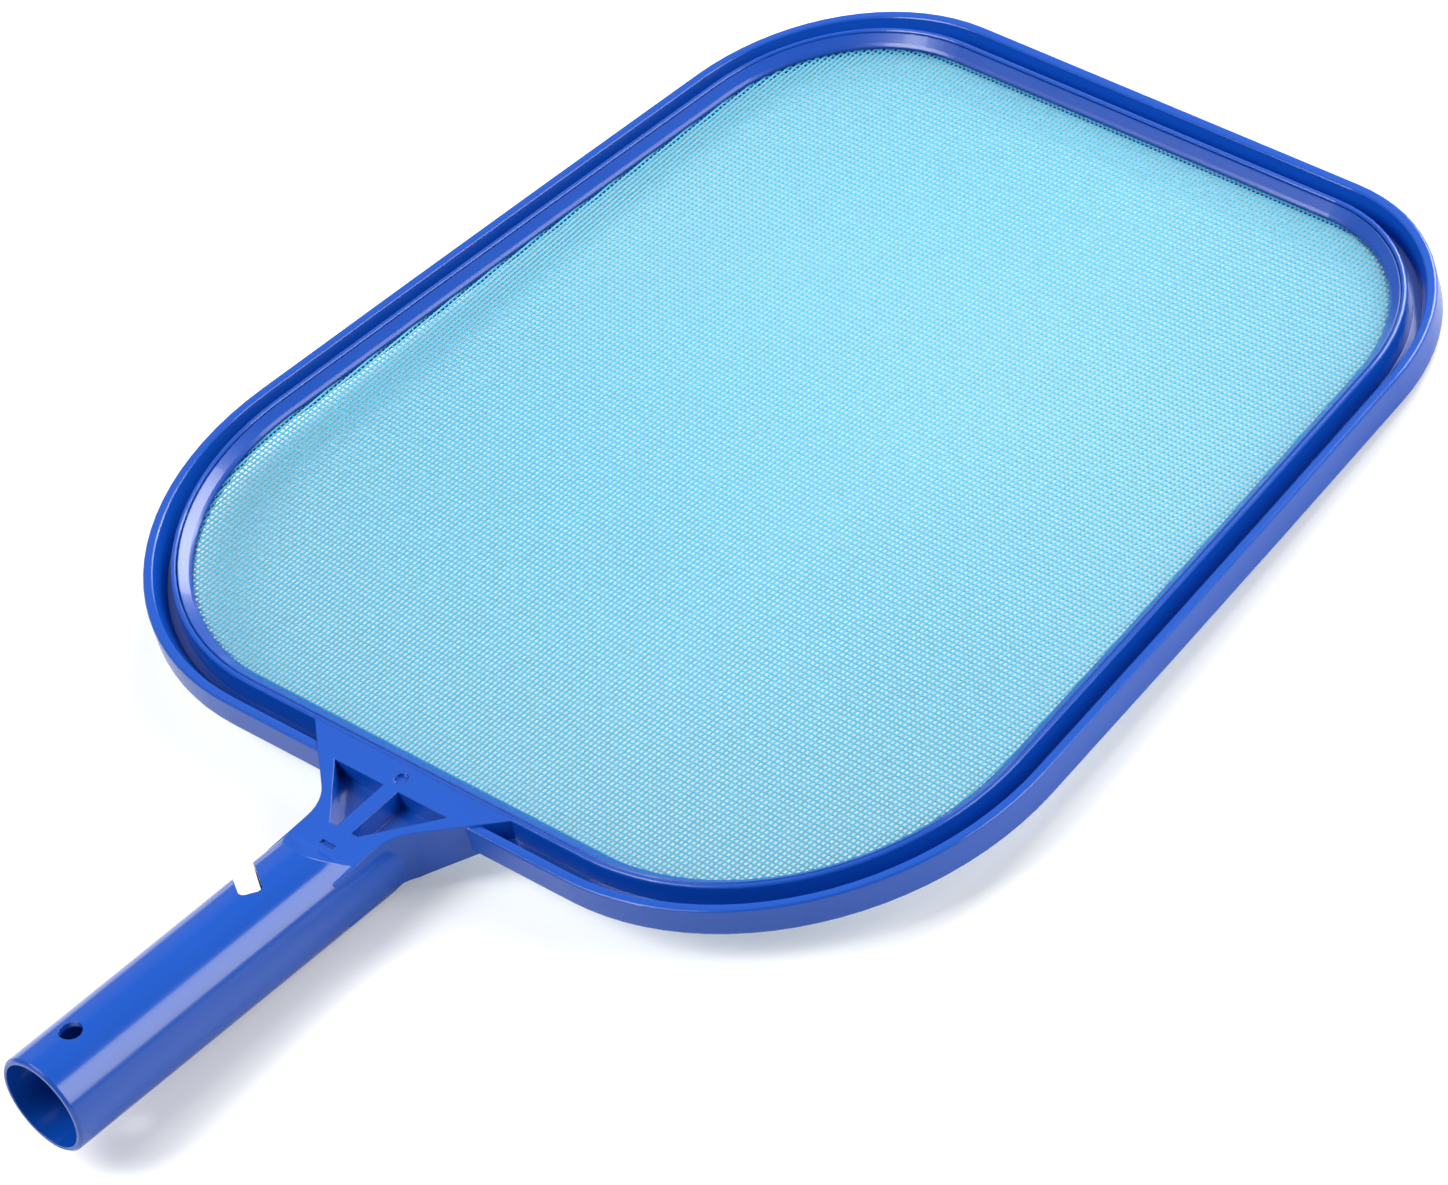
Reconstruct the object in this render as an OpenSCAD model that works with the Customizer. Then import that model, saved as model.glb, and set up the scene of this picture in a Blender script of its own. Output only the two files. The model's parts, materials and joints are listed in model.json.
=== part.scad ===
// Flat leaf skimmer head for a pool pole: a moulded rim with a socket handle,
// a net ring pressed into the rim, and the net that the ring holds down.
// +X runs from the handle's mouth to the far end of the rim, +Z is up, and the
// origin is the centre of the mouth. The rim lies level and the handle's axis
// climbs towards the mouth.

/* [Rim outline] */
// Length of the rim along X, outside
rim_l = 307; // [270:1:360]
// Width of the rim at its widest, outside
rim_w = 300; // [260:1:340]
// Angle by which each long side closes towards the far end, degrees
side_taper = 6.3; // [3:0.1:8]
// Radius of the two corners beside the handle
near_r = 85; // [70:1:100]
// Radius of the two far corners
far_r = 62; // [50:1:75]
// Turn of each long side along its length, degrees, for its slight outward bow
side_turn = 1; // [0.5:0.5:3]

/* [Rim section] */
// Height of the rim's outer wall
outer_wall_h = 8.5; // [7:0.1:11]
// Height of the rim's inner wall
inner_wall_h = 9.2; // [7:0.1:11]
// Width of the flat top of the outer wall
outer_wall_t = 3; // [2:0.1:4]
// Width of the flat top of the inner wall
inner_wall_t = 1.5; // [1.2:0.1:2.4]
// Width of the open groove between the tops of the two walls
groove_w = 5; // [4.4:0.1:7]
// Thickness of the groove's floor
floor_t = 2.6; // [2:0.1:3.5]
// How far the outer wall's inner face leans into the groove
groove_lean = 2.4; // [1:0.1:3]
// Radius on the edges of the section
edge_r = 0.7; // [0.4:0.1:0.8]
// Width of the ledge that carries the net, inwards of the inner wall
ledge_w = 3.4; // [3:0.1:6]
// Height of the ledge's top over the rim's underside
ledge_h = 5; // [4.4:0.1:5.6]
// Thickness of the ledge
ledge_t = 1.6; // [1.2:0.1:2.2]

/* [Net and ring] */
// Height of the ring's top where it meets the inner wall, over the net
ring_h = 3.3; // [2.6:0.1:3.6]
// Height of the ring's inner edge, over the net
ring_lip_h = 1.6; // [1:0.1:2.4]
// How far the ring reaches inwards past the ledge
ring_overhang = 0.4; // [0.2:0.1:1]
// Seam between the ring and the rim's inner wall
ring_gap = 0.2; // [0.1:0.05:0.3]
// Thickness of the net
net_t = 0.6; // [0.4:0.1:1]
// Width of one strand of the net
strand_w = 1.4; // [0.8:0.1:2.5]
// Gaps in the net from side to side
net_cols = 14; // [8:1:15]
// Gaps in the net from the near end to the far end
net_rows = 15; // [10:1:18]

/* [Handle] */
// Length of the handle along its axis, from its mouth to the rim
handle_l = 129; // [110:0.5:170]
// Outer diameter of the handle
handle_d = 29; // [27:0.1:31]
// Wall of the handle
handle_wall = 1.6; // [1.4:0.1:2.6]
// Angle between the handle's axis and the rim, degrees
handle_tilt = 3.2; // [1:0.1:5]
// Depth of the handle's axis under the rim's underside, at the rim
axis_drop = 0.8; // [0:0.1:2.4]
// Diameter of the holes for a pole clip's buttons
clip_hole_d = 6.5; // [5:0.1:8]
// Distance from the mouth to the clip holes
clip_hole_x = 15; // [10:0.5:30]
// Width of the bevel round the outside of the mouth, which leads into a pole
mouth_bevel = 0.7; // [0.4:0.1:1]
// Distance from the mouth to the closed end of the side notch
notch_x = 77; // [60:0.5:82]
// How far the notch's closed end lies past the middle of the handle
notch_y = 2.4; // [0:0.1:5]
// Width of the side notch
notch_w = 6.4; // [4:0.1:8]
// Radius in the corners of the notch's closed end
notch_r = 1.8; // [1:0.1:1.9]
// Angle of the notch across the handle, degrees from square
notch_angle = 30; // [15:1:40]
// Depth of the notch's floor under the handle's axis
notch_floor = 5; // [2:0.5:8]

/* [Bracket between handle and rim] */
// Height of the bracket's top over the rim's underside
plate_h = 9; // [8:0.1:9.5]
// Length of the bracket's plate, from the rim back to the handle's ramp
plate_l = 26; // [23:0.5:32]
// Half the plate's width where it leaves the handle
plate_half_w = 12.8; // [10:0.1:13]
// Slope of the ramp from the handle's top down to the plate, degrees
ramp_angle = 40; // [25:1:60]
// Distance from the rim back to where the plate starts to widen
flare_x = 19; // [17:0.5:22]
// Radius of the concave side of the plate
flare_r = 13; // [10:1:16]
// Angle at which the plate's sides run into the rim, degrees
flare_angle = 50; // [40:1:55]
// How far the plate's side walls reach under the rim
flare_drop = 6.5; // [4:0.5:8]
// Slope of the underside from the handle's belly up to the rim, degrees
belly_angle = 26; // [20:1:32]
// Depth of the two triangular recesses
recess_depth = 5.8; // [3:0.1:6]
// Distance from the rim back to the tips of the recesses
recess_tip_x = 17.5; // [14:0.5:20]
// Thickness of the rib between the recesses
rib_t = 5.4; // [3:0.1:6]
// Width of a recess at its tip
recess_tip_w = 2.6; // [1:0.1:3.4]
// Thickness of the wall left outside a recess
recess_wall = 4.2; // [3:0.1:6]
// Diameter of the round sunk mark at the head of the rib
gate_mark_d = 4; // [3:0.1:5]
// Depth of the small sunk marks in the plate
mark_depth = 0.8; // [0.4:0.1:1.2]

/* [Hidden] */
$fn = 96;
blue = [0.16, 0.31, 0.75];
ring_blue = [0.20, 0.28, 0.68];
net_cyan = [0.57, 0.86, 0.96];
// Length by which a cut runs past the face that it opens
past = 1;

// Places of the rim in the part's frame
near_x = handle_l * cos(handle_tilt);
rim_z = axis_drop - near_x * tan(handle_tilt);

// Section of the rim: w runs inwards from the outer face, z up from the underside
inner_wall_w = outer_wall_t + groove_w;
seat_w = inner_wall_w + inner_wall_t;
ledge_end_w = seat_w + ledge_w;
net_z = ledge_h;
ring_z = net_z + net_t;
ring_w = seat_w + ring_gap;
ring_end_w = ledge_end_w + ring_overhang;

// Outline of the rim: h is the heading, 0 along +Y and 90 along +X
side_h = 90 + side_taper - side_turn / 2;
far_h = 90 + side_taper + side_turn / 2;
function arc_dx(r, h0, h1) = r * (cos(h0) - cos(h1));
function arc_dy(r, h0, h1) = r * (sin(h1) - sin(h0));
p_near = [0, rim_w / 2 - near_r];
p_side = p_near + [arc_dx(near_r, 0, side_h), arc_dy(near_r, 0, side_h)];
side_r = (rim_l - p_side.x - arc_dx(far_r, far_h, 180)) / arc_dx(1, side_h, far_h);
p_far = p_side + [arc_dx(side_r, side_h, far_h), arc_dy(side_r, side_h, far_h)];
p_end = p_far + [arc_dx(far_r, far_h, 180), arc_dy(far_r, far_h, 180)];

// A corner arc's centre lies to the right of its heading
function arc_centre(p, r, h) = p + r * [cos(h), -sin(h)];

// Points of one arc, moved inwards by w
arc_steps = 20;
function arc_points(p, r, h0, h1, w) = [
    for (i = [0:arc_steps])
        let (h = h0 + (h1 - h0) * i / arc_steps)
        arc_centre(p, r, h0) - (r - w) * [cos(h), -sin(h)]
];

// Right half of the outline at a distance w inside the rim's outer face
function half_outline(w) = concat(
    arc_points(p_near, near_r, 0, side_h, w),
    arc_points(p_side, side_r, side_h, far_h, w),
    arc_points(p_far, far_r, far_h, 180, w)
);

function reversed(points) = [for (i = [len(points) - 1:-1:0]) points[i]];
function mirrored(points) = [for (p = points) [p.x, -p.y]];

// The whole outline, w inside the rim's outer face
module outline(w) {
    half = half_outline(w);
    polygon(concat(half, mirrored(reversed(half))));
}

// Moves by whole millimetres, then micrometres, then the rest, so that far places keep
// all their digits and swept pieces meet exactly
function whole(v) = [for (c = v) round(c)];
module place(p) {
    fine = p - whole(p);
    micro = whole(1000 * fine) / 1000;
    translate(whole(p))
        translate(micro)
            translate(fine - micro)
                children();
}

// One arc of a swept section, from the point p and the heading h0 to the heading h1
module sweep_arc(p, r, h0, h1) {
    place(arc_centre(p, r, h0))
        rotate_extrude(angle = h1 - h0, start = 180 - h1)
            place([r, 0])
                mirror([1, 0])
                    children();
}

// Half of an end straight, from the point p to just past the middle
module sweep_end(p, h) {
    place([p.x, p.y])
        rotate([90, 0, 0])
            mirror([h / 180, 0, 0])
                linear_extrude(p.y + past)
                    children();
}

// Carries a section around the whole outline
module sweep_rim() {
    translate([near_x, 0, rim_z])
        for (side = [0, 1])
            mirror([0, side, 0]) {
                sweep_end(p_near, 0) children();
                sweep_arc(p_near, near_r, 0, side_h) children();
                sweep_arc(p_side, side_r, side_h, far_h) children();
                sweep_arc(p_far, far_r, far_h, 180) children();
                sweep_end(p_end, 180) children();
            }
}

// Points that round an outer corner c of a section, from angle a0 to a1
round_steps = 3;
function rounded(c, r, a0, a1) = [
    for (i = [0:round_steps])
        let (a = a0 + (a1 - a0) * i / round_steps)
        c + r * [cos(a), sin(a)]
];

// Section of the moulded rim: outer wall, groove, inner wall and ledge
module rim_section() {
    e = edge_r;
    polygon(concat(
        rounded([e, e], e, 270, 180),
        rounded([e, outer_wall_h - e], e, 180, 90),
        rounded([outer_wall_t - e, outer_wall_h - e], e, 90, 0),
        [[outer_wall_t + groove_lean, floor_t]],
        [[inner_wall_w - e / 2, floor_t]],
        rounded([inner_wall_w + e, inner_wall_h - e], e, 180, 90),
        [[seat_w - e / 2, inner_wall_h]],
        [[seat_w, inner_wall_h - e / 2]],
        [[seat_w, ledge_h]],
        [[ledge_end_w, ledge_h]],
        [[ledge_end_w, ledge_h - ledge_t]],
        [[seat_w, ledge_h - ledge_t]],
        rounded([seat_w - 2 * e, e], e, 360, 270)
    ));
}

// Section of the ring: it slopes from the inner wall down to the net
module ring_section() {
    polygon([
        [ring_w, ring_z],
        [ring_w, ring_z + ring_h - edge_r / 2],
        [ring_w + edge_r / 2, ring_z + ring_h],
        [ring_end_w - edge_r, ring_z + ring_lip_h],
        [ring_end_w, ring_z + ring_lip_h - edge_r],
        [ring_end_w, ring_z]
    ]);
}

// Turns a child built along +Z from the mouth into the handle's axis
module along_handle() {
    rotate([0, 90 + handle_tilt, 0])
        rotate([0, 0, 180])
            children();
}

// Moves a child from the rim's near edge and underside into the part's frame
module at_rim() {
    translate([near_x, 0, rim_z])
        children();
}

// Depth of the handle's bore, which stops where the ramp starts
handle_r = handle_d / 2;
bore_r = handle_r - handle_wall;
handle_top_at_ramp = handle_r - axis_drop + plate_l * tan(handle_tilt);
ramp_l = (handle_top_at_ramp - plate_h) / tan(ramp_angle);
bore_l = handle_l - plate_l - ramp_l;

// Where the plate's straight sides and the strip's sides would meet without the curve
corner_x = -flare_x + flare_r * tan(flare_angle / 2);
flare_end = [
    -flare_x + flare_r * sin(flare_angle),
    plate_half_w + flare_r * (1 - cos(flare_angle))
];

// Plan of the bracket: a strip that widens through concave sides into the rim
module bracket_plan() {
    rim_half = plate_half_w + (inner_wall_w + inner_wall_t / 2 - corner_x) * tan(flare_angle);
    translate([-plate_l - ramp_l, -plate_half_w])
        square([plate_l + ramp_l + outer_wall_t, 2 * plate_half_w]);
    for (side = [0, 1])
        mirror([0, side]) {
            polygon([
                [corner_x, 0],
                [corner_x, plate_half_w],
                [inner_wall_w + inner_wall_t / 2, rim_half],
                [inner_wall_w + inner_wall_t / 2, 0]
            ]);
            difference() {
                polygon([
                    [-flare_x, plate_half_w - past],
                    [-flare_x, plate_half_w],
                    flare_end,
                    [corner_x, plate_half_w - past]
                ]);
                translate([-flare_x, plate_half_w + flare_r])
                    circle(flare_r);
            }
        }
}

// Solid root of the handle and the flared plate, cut to the sloping underside
module bracket() {
    belly_l = plate_l + ramp_l;
    difference() {
        union() {
            at_rim()
                translate([0, 0, -flare_drop])
                    linear_extrude(plate_h + flare_drop)
                        bracket_plan();
            along_handle()
                translate([0, 0, bore_l])
                    cylinder(r = handle_r, h = handle_l - bore_l + outer_wall_t);
        }
        // Sloping underside
        at_rim()
            translate([outer_wall_t, 0, 0])
                rotate([0, -belly_angle, 0])
                    translate([-2 * belly_l, -rim_w / 2, -2 * handle_d])
                        cube([3 * belly_l, rim_w, 2 * handle_d]);
    }
}

// Everything above the plate and the ramp
module plate_clearance() {
    top = handle_d;
    at_rim()
        rotate([90, 0, 0])
            translate([0, 0, -handle_d])
                linear_extrude(2 * handle_d)
                    polygon([
                        [-plate_l, plate_h],
                        [-plate_l - top / tan(ramp_angle), plate_h + top],
                        [inner_wall_w, plate_h + top],
                        [inner_wall_w, plate_h]
                    ]);
}

// Plan of one triangular recess, its long side beside the rim
module recess_plan() {
    edge_half = plate_half_w - corner_x * tan(flare_angle) - recess_wall / cos(flare_angle);
    polygon([
        [0, rib_t / 2],
        [0, edge_half],
        [-recess_tip_x, rib_t / 2 + recess_tip_w],
        [-recess_tip_x, rib_t / 2]
    ]);
}

module recesses() {
    at_rim()
        translate([0, 0, plate_h - recess_depth])
            linear_extrude(recess_depth + past)
                for (side = [0, 1])
                    mirror([0, side])
                        recess_plan();
}

// Round mark at the rib's head and a short bar mark at the foot of the ramp
module plate_marks() {
    at_rim()
        translate([gate_mark_d, 0, plate_h - mark_depth])
            cylinder(d = gate_mark_d, h = mark_depth + past);
    at_rim()
        translate([2 * mark_depth - plate_l, -rib_t / 2, plate_h - mark_depth])
            cube([2 * mark_depth, rib_t, mark_depth + past]);
}

// Outer body of the handle, bevelled round its mouth
module handle_body() {
    rotate_extrude()
        polygon([
            [0, 0],
            [handle_r - mouth_bevel, 0],
            [handle_r, mouth_bevel],
            [handle_r, bore_l + handle_wall],
            [0, bore_l + handle_wall]
        ]);
}

// Slot in the notch's own plan: closed end at the origin, open towards -Y
module notch_plan() {
    for (side = [-1, 1])
        translate([side * (notch_w / 2 - notch_r), -notch_r])
            circle(notch_r);
    translate([notch_r - notch_w / 2, -2 * notch_r])
        square([notch_w - 2 * notch_r, 2 * notch_r]);
    translate([-notch_w / 2, -handle_d])
        square([notch_w, handle_d - notch_r]);
}

// Slanted notch with a blunt end on top of the handle, cut straight down and open to +Y
module notch() {
    along_handle()
        translate([0, notch_y, notch_x])
            rotate([0, 90, 0])
                translate([0, 0, -notch_floor])
                    linear_extrude(notch_floor + handle_d)
                        rotate(-notch_angle)
                            notch_plan();
}

// Rim, bracket and handle are one moulding
module frame() {
    color(blue)
        difference() {
            union() {
                sweep_rim() rim_section();
                bracket();
                along_handle()
                    handle_body();
            }
            plate_clearance();
            recesses();
            plate_marks();
            along_handle()
                translate([0, 0, -past])
                    cylinder(r = bore_r, h = bore_l + past);
            along_handle()
                translate([-handle_d, 0, clip_hole_x])
                    rotate([0, 90, 0])
                        cylinder(d = clip_hole_d, h = 2 * handle_d);
            notch();
        }
}

// Ring that presses the net onto the ledge
module net_ring() {
    color(ring_blue)
        sweep_rim() ring_section();
}

// Flat net, with a solid edge under the ring
module net() {
    edge_w = ring_end_w;
    span_x = rim_l - 2 * edge_w;
    span_y = rim_w - 2 * edge_w;
    pitch_x = (span_x - strand_w) / net_rows;
    pitch_y = (span_y - strand_w) / net_cols;
    color(net_cyan)
        translate([near_x, 0, rim_z + net_z])
            linear_extrude(net_t)
                difference() {
                    outline(ring_w);
                    intersection() {
                        outline(edge_w);
                        for (i = [0:net_rows - 1], j = [0:net_cols - 1])
                            translate([
                                edge_w + strand_w + i * pitch_x,
                                -span_y / 2 + strand_w + j * pitch_y
                            ])
                                square([pitch_x - strand_w, pitch_y - strand_w]);
                    }
                }
}

frame();
net_ring();
net();
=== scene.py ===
"""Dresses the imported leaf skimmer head: moulded blue frame, net ring and woven cyan net.

The CAD nodes `frame` and `net_ring` keep their shapes and get finishes. The flat CAD net is
replaced by a net of round threads. A tilted floor touches the handle's belly and the far rim,
as the head does when it lies on a table.
"""

from __future__ import annotations

import json
import logging
import math
from dataclasses import dataclass
from enum import Enum

import bpy
import numpy as np
from mathutils import Matrix, Vector

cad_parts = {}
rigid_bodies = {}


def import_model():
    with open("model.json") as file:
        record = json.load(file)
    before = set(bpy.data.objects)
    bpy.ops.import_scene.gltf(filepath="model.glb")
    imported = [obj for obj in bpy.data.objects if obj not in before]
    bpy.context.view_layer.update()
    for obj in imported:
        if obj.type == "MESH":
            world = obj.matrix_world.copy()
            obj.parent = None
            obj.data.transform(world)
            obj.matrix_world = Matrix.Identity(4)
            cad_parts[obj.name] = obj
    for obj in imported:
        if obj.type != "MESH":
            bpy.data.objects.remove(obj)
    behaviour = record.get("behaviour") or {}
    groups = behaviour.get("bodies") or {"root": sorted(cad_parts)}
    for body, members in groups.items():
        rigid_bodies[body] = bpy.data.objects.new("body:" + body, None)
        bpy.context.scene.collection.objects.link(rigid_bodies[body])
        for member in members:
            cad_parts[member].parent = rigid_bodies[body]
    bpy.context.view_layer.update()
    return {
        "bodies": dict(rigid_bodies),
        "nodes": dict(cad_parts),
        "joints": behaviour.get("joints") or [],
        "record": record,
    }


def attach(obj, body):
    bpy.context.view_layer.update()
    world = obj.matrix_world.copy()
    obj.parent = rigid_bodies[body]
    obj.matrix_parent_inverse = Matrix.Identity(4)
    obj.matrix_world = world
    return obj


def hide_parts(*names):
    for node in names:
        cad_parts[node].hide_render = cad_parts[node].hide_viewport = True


log = logging.getLogger("skimmer")

MM = 0.001
LAMP_AIM = (0.3, 0.0, 0.0)


class Part(Enum):
    """The CAD nodes."""

    FRAME = "frame"
    RING = "net_ring"
    NET = "net"


# --------------------------------------------------------------------------- shapes


@dataclass(frozen=True)
class RimOutline:
    """Plan of the rim, made of tangent arcs, as the CAD part draws it. Lengths in metres.

    A heading is 0 along +Y and 90 along +X. An arc of radius r from heading a to heading b
    moves by r (cos a - cos b) along X and by r (sin b - sin a) along Y.
    """

    near_x: float
    length: float = 307 * MM
    width: float = 300 * MM
    side_taper: float = 6.3
    near_r: float = 85 * MM
    far_r: float = 62 * MM
    side_turn: float = 1.0

    def arcs(self) -> list[tuple[np.ndarray, float, float, float]]:
        """Lists the arcs of the +Y half.

        Returns:
            For each arc its centre, its radius and its first and last heading in degrees.
        """
        side_h = 90 + self.side_taper - self.side_turn / 2
        far_h = side_h + self.side_turn
        start = np.array([self.near_x, self.width / 2 - self.near_r])
        used = arc_step(self.near_r, 0, side_h)[0] + arc_step(self.far_r, far_h, 180)[0]
        side_r = (self.length - used) / arc_step(1, side_h, far_h)[0]
        turns = [
            (self.near_r, 0.0, side_h),
            (side_r, side_h, far_h),
            (self.far_r, far_h, 180.0),
        ]
        made = []
        for radius, first, last in turns:
            made.append((start + radius * right_of(first), radius, first, last))
            start = start + arc_step(radius, first, last)
        return made

    def half(self, inset: float, per_arc: int = 40) -> np.ndarray:
        """Points of the +Y half at a distance inside the outer face, near end first.

        Args:
            inset: distance inwards from the rim's outer face.
            per_arc: points on each arc.

        Returns:
            An array of X, Y points.
        """
        runs = []
        for centre, radius, first, last in self.arcs():
            heading = np.linspace(first, last, per_arc)
            runs.append(centre - (radius - inset) * right_of(heading))
        return np.concatenate(runs)

    def half_width(self, x: np.ndarray, inset: float) -> np.ndarray:
        """Half the width of the inset outline at each X, by interpolation along its half."""
        half = self.half(inset)
        return np.interp(x, half[:, 0], half[:, 1], left=0.0, right=0.0)

    def span(self, y: np.ndarray, inset: float) -> tuple[np.ndarray, np.ndarray]:
        """Lowest and highest X of the inset outline at each Y.

        The half outline rises to its widest point and then falls, so each side of that
        point is a single-valued curve of X over Y.
        """
        half = self.half(inset)
        top = int(half[:, 1].argmax())
        rise = half[: top + 1]
        fall = half[top:][::-1]
        low = np.interp(np.abs(y), rise[:, 1], rise[:, 0])
        high = np.interp(np.abs(y), fall[:, 1], fall[:, 0])
        return low, high


def right_of(heading: float | np.ndarray) -> np.ndarray:
    """Unit vectors to the right of headings in degrees: (cos h, -sin h)."""
    angle = np.radians(heading)
    return np.stack([np.cos(angle), -np.sin(angle)], axis=-1)


def arc_step(radius: float, first: float, last: float) -> np.ndarray:
    """The move along an arc from its first to its last heading, as dX, dY."""
    a, b = math.radians(first), math.radians(last)
    return np.array([radius * (math.cos(a) - math.cos(b)), radius * (math.sin(b) - math.sin(a))])


def new_piece(
    name: str, points: np.ndarray, faces: list[np.ndarray], smooth: bool = True
) -> bpy.types.Object:
    """Makes a mesh object from whole arrays.

    Args:
        name: the object's name.
        points: N by 3 array of places in metres.
        faces: arrays of corners, one row for each face.
        smooth: whether the faces are shaded smooth.

    Returns:
        The linked object, which sits at the origin.
    """
    mesh = bpy.data.meshes.new(name)
    mesh.from_pydata(points.tolist(), [], [face for rows in faces for face in rows.tolist()])
    mesh.polygons.foreach_set("use_smooth", np.full(len(mesh.polygons), smooth))
    mesh.update()
    piece = bpy.data.objects.new(name, mesh)
    bpy.context.scene.collection.objects.link(piece)
    return piece


# --------------------------------------------------------------------------- finishes


def colour(red: float, green: float, blue: float) -> tuple[float, float, float, float]:
    """A linear colour with full alpha from sRGB values of 0 to 255."""
    srgb = np.array([red, green, blue]) / 255
    linear = np.where(srgb <= 0.04045, srgb / 12.92, ((srgb + 0.055) / 1.055) ** 2.4)
    return (*linear.tolist(), 1.0)


class MouldedSurface:
    """Shader group shared by the moulded parts: tone changes, gloss changes and fine grain."""

    NAME = "moulded_surface"
    TONE_SCALE = 14.0
    SMEAR_SCALE = 60.0
    GLOSS_SWING = 0.05

    @classmethod
    def group(cls) -> bpy.types.NodeTree:
        """Builds the group once and returns it.

        Inputs are the base colour, how far the tone wanders, the mean roughness and the
        scale of the grain. Outputs are Color, Roughness and Height.
        """
        if cls.NAME in bpy.data.node_groups:
            return bpy.data.node_groups[cls.NAME]
        tree = bpy.data.node_groups.new(cls.NAME, "ShaderNodeTree")
        sockets = tree.interface
        for name, kind in (
            ("Base", "NodeSocketColor"),
            ("Tone", "NodeSocketFloat"),
            ("Mean Roughness", "NodeSocketFloat"),
            ("Grain Scale", "NodeSocketFloat"),
        ):
            sockets.new_socket(name=name, in_out="INPUT", socket_type=kind)
        for name, kind in (
            ("Color", "NodeSocketColor"),
            ("Roughness", "NodeSocketFloat"),
            ("Height", "NodeSocketFloat"),
        ):
            sockets.new_socket(name=name, in_out="OUTPUT", socket_type=kind)
        nodes, links = tree.nodes, tree.links
        start = nodes.new("NodeGroupInput")
        end = nodes.new("NodeGroupOutput")
        place = nodes.new("ShaderNodeTexCoord")

        drift = nodes.new("ShaderNodeTexNoise")
        drift.inputs["Scale"].default_value = cls.TONE_SCALE
        drift.inputs["Detail"].default_value = 3.0
        links.new(place.outputs["Object"], drift.inputs["Vector"])
        centred = nodes.new("ShaderNodeMath")
        centred.operation = "SUBTRACT"
        centred.inputs[1].default_value = 0.5
        links.new(drift.outputs["Fac"], centred.inputs[0])
        swing = nodes.new("ShaderNodeMath")
        swing.operation = "MULTIPLY_ADD"
        swing.inputs[2].default_value = 1.0
        links.new(centred.outputs[0], swing.inputs[0])
        links.new(start.outputs["Tone"], swing.inputs[1])
        tint = nodes.new("ShaderNodeHueSaturation")
        links.new(start.outputs["Base"], tint.inputs["Color"])
        links.new(swing.outputs[0], tint.inputs["Value"])
        links.new(tint.outputs["Color"], end.inputs["Color"])

        smear = nodes.new("ShaderNodeTexNoise")
        smear.inputs["Scale"].default_value = cls.SMEAR_SCALE
        smear.inputs["Detail"].default_value = 4.0
        links.new(place.outputs["Object"], smear.inputs["Vector"])
        gloss = nodes.new("ShaderNodeMapRange")
        gloss.inputs["To Min"].default_value = -cls.GLOSS_SWING
        gloss.inputs["To Max"].default_value = cls.GLOSS_SWING
        links.new(smear.outputs["Fac"], gloss.inputs["Value"])
        rough = nodes.new("ShaderNodeMath")
        rough.operation = "ADD"
        rough.use_clamp = True
        links.new(start.outputs["Mean Roughness"], rough.inputs[0])
        links.new(gloss.outputs["Result"], rough.inputs[1])
        links.new(rough.outputs[0], end.inputs["Roughness"])

        grain = nodes.new("ShaderNodeTexNoise")
        grain.inputs["Detail"].default_value = 2.0
        links.new(place.outputs["Object"], grain.inputs["Vector"])
        links.new(start.outputs["Grain Scale"], grain.inputs["Scale"])
        links.new(grain.outputs["Fac"], end.inputs["Height"])
        return tree


@dataclass(frozen=True)
class MouldedPlastic:
    """Semi-gloss injection-moulded plastic with softly rounded edges."""

    name: str
    base: tuple[float, float, float, float]
    tone: float = 0.12
    roughness: float = 0.2
    ior: float = 1.49
    grain_scale: float = 1400.0
    grain_depth: float = 0.04 * MM
    grain_strength: float = 0.15
    edge_round: float = 0.5 * MM
    edge_samples: int = 6
    coat: float = 0.2
    coat_roughness: float = 0.06

    def material(self) -> bpy.types.Material:
        """Builds the material.

        Returns:
            A material whose Principled shader takes colour, roughness and bump from the
            shared group and its rounded edges from a Bevel node.
        """
        made = bpy.data.materials.new(self.name)
        made.use_nodes = True
        nodes, links = made.node_tree.nodes, made.node_tree.links
        shader = nodes["Principled BSDF"]
        shader.inputs["IOR"].default_value = self.ior
        shader.inputs["Coat Weight"].default_value = self.coat
        shader.inputs["Coat Roughness"].default_value = self.coat_roughness
        surface = nodes.new("ShaderNodeGroup")
        surface.node_tree = MouldedSurface.group()
        surface.inputs["Base"].default_value = self.base
        surface.inputs["Tone"].default_value = self.tone
        surface.inputs["Mean Roughness"].default_value = self.roughness
        surface.inputs["Grain Scale"].default_value = self.grain_scale
        links.new(surface.outputs["Color"], shader.inputs["Base Color"])
        links.new(surface.outputs["Roughness"], shader.inputs["Roughness"])
        rounding = nodes.new("ShaderNodeBevel")
        rounding.samples = self.edge_samples
        rounding.inputs["Radius"].default_value = self.edge_round
        bump = nodes.new("ShaderNodeBump")
        bump.inputs["Strength"].default_value = self.grain_strength
        bump.inputs["Distance"].default_value = self.grain_depth
        links.new(surface.outputs["Height"], bump.inputs["Height"])
        links.new(rounding.outputs["Normal"], bump.inputs["Normal"])
        links.new(bump.outputs["Normal"], shader.inputs["Normal"])
        return made


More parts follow.
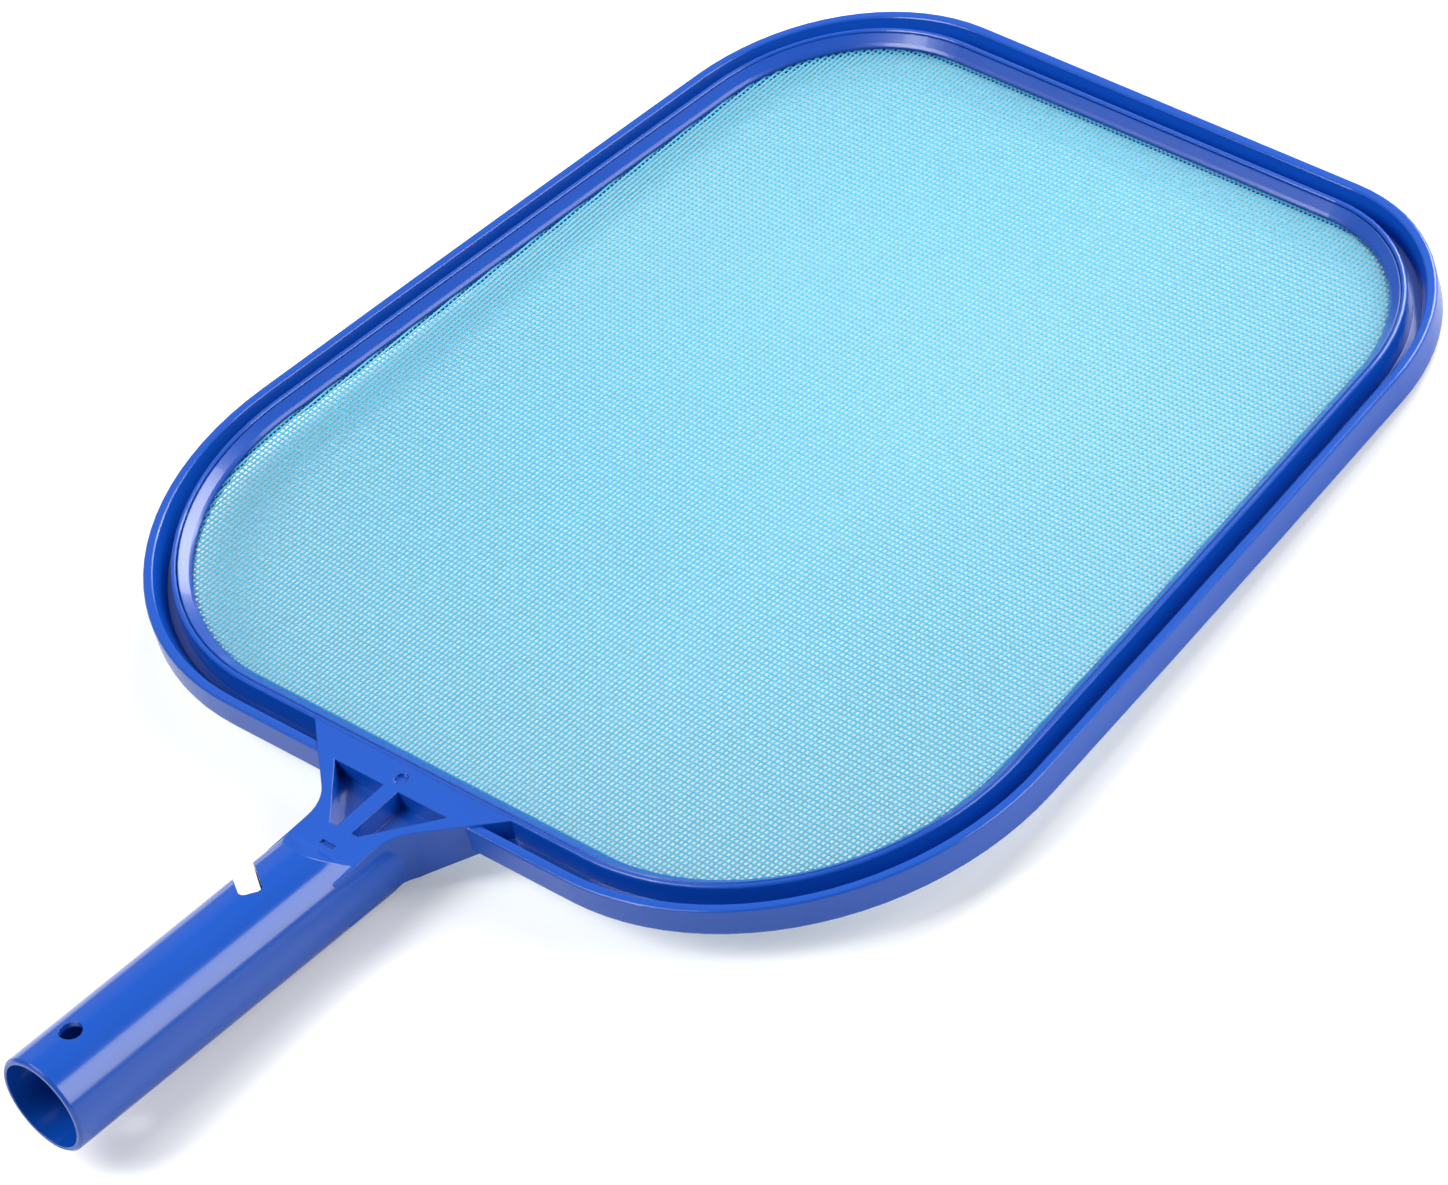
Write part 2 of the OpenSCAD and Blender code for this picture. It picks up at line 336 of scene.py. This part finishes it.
@dataclass(frozen=True)
class NetThread:
    """Extruded cyan thread that lets some light through."""

    name: str = "net_thread"
    base: tuple[float, float, float, float] = colour(123, 226, 252)
    tone: float = 0.08
    roughness: float = 0.4
    ior: float = 1.45
    transmission: float = 0.45

    def material(self) -> bpy.types.Material:
        """Builds the thread's material, with slight tone changes along the net."""
        made = bpy.data.materials.new(self.name)
        made.use_nodes = True
        nodes, links = made.node_tree.nodes, made.node_tree.links
        shader = nodes["Principled BSDF"]
        shader.inputs["IOR"].default_value = self.ior
        shader.inputs["Transmission Weight"].default_value = self.transmission
        surface = nodes.new("ShaderNodeGroup")
        surface.node_tree = MouldedSurface.group()
        surface.inputs["Base"].default_value = self.base
        surface.inputs["Tone"].default_value = self.tone
        surface.inputs["Mean Roughness"].default_value = self.roughness
        links.new(surface.outputs["Color"], shader.inputs["Base Color"])
        links.new(surface.outputs["Roughness"], shader.inputs["Roughness"])
        return made


# --------------------------------------------------------------------------- the head


@dataclass
class Net:
    """Woven net: straight round threads both ways, stretched between ledge and ring."""

    outline: RimOutline
    level: float
    pitch: float = 25.4 / 16 * MM
    thread_d: float = 0.6 * MM
    inset: float = 10.4 * MM
    sides: int = 6
    finish: NetThread = NetThread()

    def threads(self) -> tuple[np.ndarray, np.ndarray]:
        """Ends of all threads.

        Threads along X stand a sixth of a thread above the net's middle and threads
        along Y the same below it. Each runs from outline to outline.

        Returns:
            Two N by 3 arrays, the first and the last point of each thread.
        """
        lift = self.thread_d / 6
        half = self.outline.half(self.inset)
        reach_y = half[:, 1].max()
        count = int(reach_y / self.pitch)
        y = np.arange(-count, count + 1) * self.pitch
        low, high = self.outline.span(y, self.inset)
        level = np.full(len(y), self.level + lift)
        along_first = np.stack([low, y, level], axis=1)
        along_last = np.stack([high, y, level], axis=1)
        x = np.arange(half[:, 0].min() + self.pitch / 2, half[:, 0].max(), self.pitch)
        wide = self.outline.half_width(x, self.inset)
        level = np.full(len(x), self.level - lift)
        across_first = np.stack([x, -wide, level], axis=1)
        across_last = np.stack([x, wide, level], axis=1)
        first = np.concatenate([along_first, across_first])
        last = np.concatenate([along_last, across_last])
        return first, last

    def build(self) -> bpy.types.Object:
        """Makes one mesh of closed tubes.

        A tube's ring is a polygon of `sides` corners in the plane square to the thread:
        point = end + r (cos a * side + sin a * up).
        """
        first, last = self.threads()
        run = last - first
        run /= np.linalg.norm(run, axis=1, keepdims=True)
        up = np.array([0.0, 0.0, 1.0])
        side = np.cross(up, run)
        angle = np.linspace(0, 2 * np.pi, self.sides, endpoint=False)
        ring = self.thread_d / 2 * (
            np.cos(angle)[None, :, None] * side[:, None, :] + np.sin(angle)[None, :, None] * up
        )
        points = np.stack([first[:, None] + ring, last[:, None] + ring], axis=1)
        count = len(first)
        base = np.arange(count)[:, None] * 2 * self.sides
        corner = np.arange(self.sides)[None, :]
        after = (corner + 1) % self.sides
        walls = np.stack(
            [base + corner, base + after, base + self.sides + after, base + self.sides + corner],
            axis=-1,
        ).reshape(-1, 4)
        first_caps = base + corner[:, ::-1]
        last_caps = base + self.sides + corner
        return new_piece("net_threads", points.reshape(-1, 3), [walls, first_caps, last_caps])


@dataclass(frozen=True)
class ProductCamera:
    """Long-lens camera that looks down at the head from behind the handle, rolled.

    The aim is given from the middle of the rim's near edge, at the level of the rim's
    underside, and the camera stands at the distance from it.
    """

    azimuth: float = -33.784
    elevation: float = 40.455
    roll: float = -18.215
    distance: float = 2.35
    aim: tuple[float, float, float] = (0.0961, -0.0325, 0.0143)
    lens: float = 223.76
    sensor: float = 36.0
    clip_start: float = 0.05

    def place(self, near_edge: np.ndarray) -> bpy.types.Object:
        """Creates the camera and makes it the scene's.

        The view's back vector is (cos e sin a, -cos e cos a, sin e) for azimuth a and
        elevation e. Right is level before the roll, which turns right towards up.
        """
        a, e, r = (math.radians(v) for v in (self.azimuth, self.elevation, self.roll))
        back = Vector((math.cos(e) * math.sin(a), -math.cos(e) * math.cos(a), math.sin(e)))
        level = Vector((math.cos(a), math.sin(a), 0.0))
        upright = back.cross(level)
        right = math.cos(r) * level + math.sin(r) * upright
        up = math.cos(r) * upright - math.sin(r) * level
        data = bpy.data.cameras.new("product_camera")
        data.lens = self.lens
        data.sensor_width = self.sensor
        data.sensor_fit = "HORIZONTAL"
        data.clip_start = self.clip_start
        camera = bpy.data.objects.new("product_camera", data)
        bpy.context.scene.collection.objects.link(camera)
        place = Vector(near_edge) + Vector(self.aim) + back * self.distance
        turn = Matrix((right, up, back)).transposed().to_4x4()
        camera.matrix_world = Matrix.Translation(place) @ turn
        bpy.context.scene.camera = camera
        return camera


@dataclass(frozen=True)
class SoftBox:
    """One area lamp, aimed at a point."""

    name: str
    place: tuple[float, float, float]
    width: float
    depth: float
    power: float

    def light(self, aim: Vector) -> bpy.types.Object:
        """Creates the lamp, facing the aim."""
        data = bpy.data.lights.new(self.name, "AREA")
        data.shape = "RECTANGLE"
        data.size = self.width
        data.size_y = self.depth
        data.energy = self.power
        lamp = bpy.data.objects.new(self.name, data)
        bpy.context.scene.collection.objects.link(lamp)
        lamp.location = self.place
        lamp.rotation_euler = (aim - Vector(self.place)).to_track_quat("-Z", "Y").to_euler()
        return lamp


@dataclass
class Studio:
    """White floor that the head rests on, soft boxes and an even sky.

    The floor reaches the same way on each side of the origin and stops a small gap below
    the head. The belly's length is how far along X the handle's contact may lie.
    """

    middle: Vector
    sky: float = 0.28
    paper: float = 0.76
    glow: float = 0.27
    reach: float = 6.0
    gap: float = 0.05 * MM
    belly_length: float = 100 * MM
    boxes: tuple[SoftBox, ...] = (
        SoftBox("far_box", (1.79, 0.22, 1.10), 1.1, 1.1, 39.0),
        SoftBox("left_box", (-0.80, 0.63, 1.30), 0.9, 0.9, 26.0),
        SoftBox("tube_box", (0.71, -1.15, 0.74), 0.7, 1.1, 12.5),
        SoftBox("back_box", (0.75, 1.20, 0.78), 1.5, 0.9, 0.7),
    )

    def floor(self, node: bpy.types.Object) -> bpy.types.Object:
        """Makes the floor through the two lowest lines of the lying head.

        The head rests on the lowest point of the handle's belly and on the rim's far end,
        so the floor's slope is the least slope from that point to any point beyond it.
        """
        count = len(node.data.vertices)
        flat = np.empty(count * 3)
        node.data.vertices.foreach_get("co", flat)
        points = flat.reshape(-1, 3)
        belly = points[points[:, 2].argmin()]
        beyond = points[points[:, 0] > belly[0] + self.belly_length]
        slope = ((beyond[:, 2] - belly[2]) / (beyond[:, 0] - belly[0])).min()
        grid = self.reach * np.array([[-1, -1], [1, -1], [1, 1], [-1, 1]])
        level = belly[2] + (grid[:, 0] - belly[0]) * slope - self.gap
        corners = np.column_stack([grid, level])
        piece = new_piece("floor", corners, [np.array([[0, 1, 2, 3]])], smooth=False)
        piece.data.materials.append(self.floor_finish())
        return piece

    def floor_finish(self) -> bpy.types.Material:
        """White to the camera and to reflections, and it keeps the head's shadow."""
        made = bpy.data.materials.new("white_floor")
        made.use_nodes = True
        nodes, links = made.node_tree.nodes, made.node_tree.links
        nodes.clear()
        out = nodes.new("ShaderNodeOutputMaterial")
        paper = nodes.new("ShaderNodeBsdfDiffuse")
        paper.inputs["Color"].default_value = (self.paper, self.paper, self.paper, 1)
        glow = nodes.new("ShaderNodeEmission")
        glow.inputs["Color"].default_value = (1, 1, 1, 1)
        glow.inputs["Strength"].default_value = self.glow
        both = nodes.new("ShaderNodeAddShader")
        links.new(paper.outputs[0], both.inputs[0])
        links.new(glow.outputs[0], both.inputs[1])
        seen = nodes.new("ShaderNodeLightPath")
        mix = nodes.new("ShaderNodeMixShader")
        links.new(seen.outputs["Is Camera Ray"], mix.inputs["Fac"])
        links.new(paper.outputs[0], mix.inputs[1])
        links.new(both.outputs[0], mix.inputs[2])
        links.new(mix.outputs[0], out.inputs["Surface"])
        return made

    def world(self) -> None:
        """Even sky that the camera sees as white."""
        world = bpy.data.worlds.new("studio_sky")
        bpy.context.scene.world = world
        world.use_nodes = True
        nodes, links = world.node_tree.nodes, world.node_tree.links
        nodes.clear()
        out = nodes.new("ShaderNodeOutputWorld")
        sky = nodes.new("ShaderNodeBackground")
        sky.inputs["Color"].default_value = (1, 1, 1, 1)
        sky.inputs["Strength"].default_value = self.sky
        seen = nodes.new("ShaderNodeLightPath")
        white = nodes.new("ShaderNodeBackground")
        white.inputs["Color"].default_value = (1, 1, 1, 1)
        mix = nodes.new("ShaderNodeMixShader")
        links.new(seen.outputs["Is Camera Ray"], mix.inputs["Fac"])
        links.new(sky.outputs[0], mix.inputs[1])
        links.new(white.outputs[0], mix.inputs[2])
        links.new(mix.outputs[0], out.inputs["Surface"])

    def build(self, node: bpy.types.Object) -> None:
        """Sets up floor, lamps and sky."""
        self.floor(node)
        self.world()
        for box in self.boxes:
            box.light(self.middle)


@dataclass
class SkimmerHead:
    """The whole head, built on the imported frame."""

    frame: dict
    handle_l: float = 129 * MM
    handle_tilt: float = 3.2
    axis_drop: float = 0.8 * MM
    net_middle: float = 5.3 * MM

    def near_edge(self) -> np.ndarray:
        """Middle of the rim's near edge at the level of its underside."""
        tilt = math.radians(self.handle_tilt)
        near_x = self.handle_l * math.cos(tilt)
        return np.array([near_x, 0.0, self.axis_drop - near_x * math.tan(tilt)])

    def dress_mouldings(self) -> None:
        """Gives the frame and the net ring their finishes."""
        finishes = {
            Part.FRAME: MouldedPlastic("frame_plastic_blue", colour(10, 74, 172)),
            Part.RING: MouldedPlastic("ring_plastic_blue", colour(14, 70, 164), roughness=0.26),
        }
        for part, finish in finishes.items():
            node = self.frame["nodes"][part.value]
            made = finish.material()
            node.data.materials.clear()
            node.data.materials.append(made)
            log.info("%s: %s", part.value, made.name)

    def hang_net(self) -> None:
        edge = self.near_edge()
        outline = RimOutline(near_x=float(edge[0]))
        net = Net(outline, level=float(edge[2]) + self.net_middle)
        piece = net.build()
        piece.data.materials.append(net.finish.material())
        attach(piece, "root")
        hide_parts(Part.NET.value)


def main() -> None:
    """Builds the camera, the head and the studio."""
    logging.basicConfig(level=logging.INFO, format="%(name)s: %(message)s")
    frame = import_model()
    bpy.context.scene.view_settings.view_transform = "Standard"
    head = SkimmerHead(frame)
    ProductCamera().place(head.near_edge())
    head.dress_mouldings()
    head.hang_net()
    Studio(middle=Vector(LAMP_AIM)).build(frame["nodes"][Part.FRAME.value])


if __name__ == "__main__":
    main()
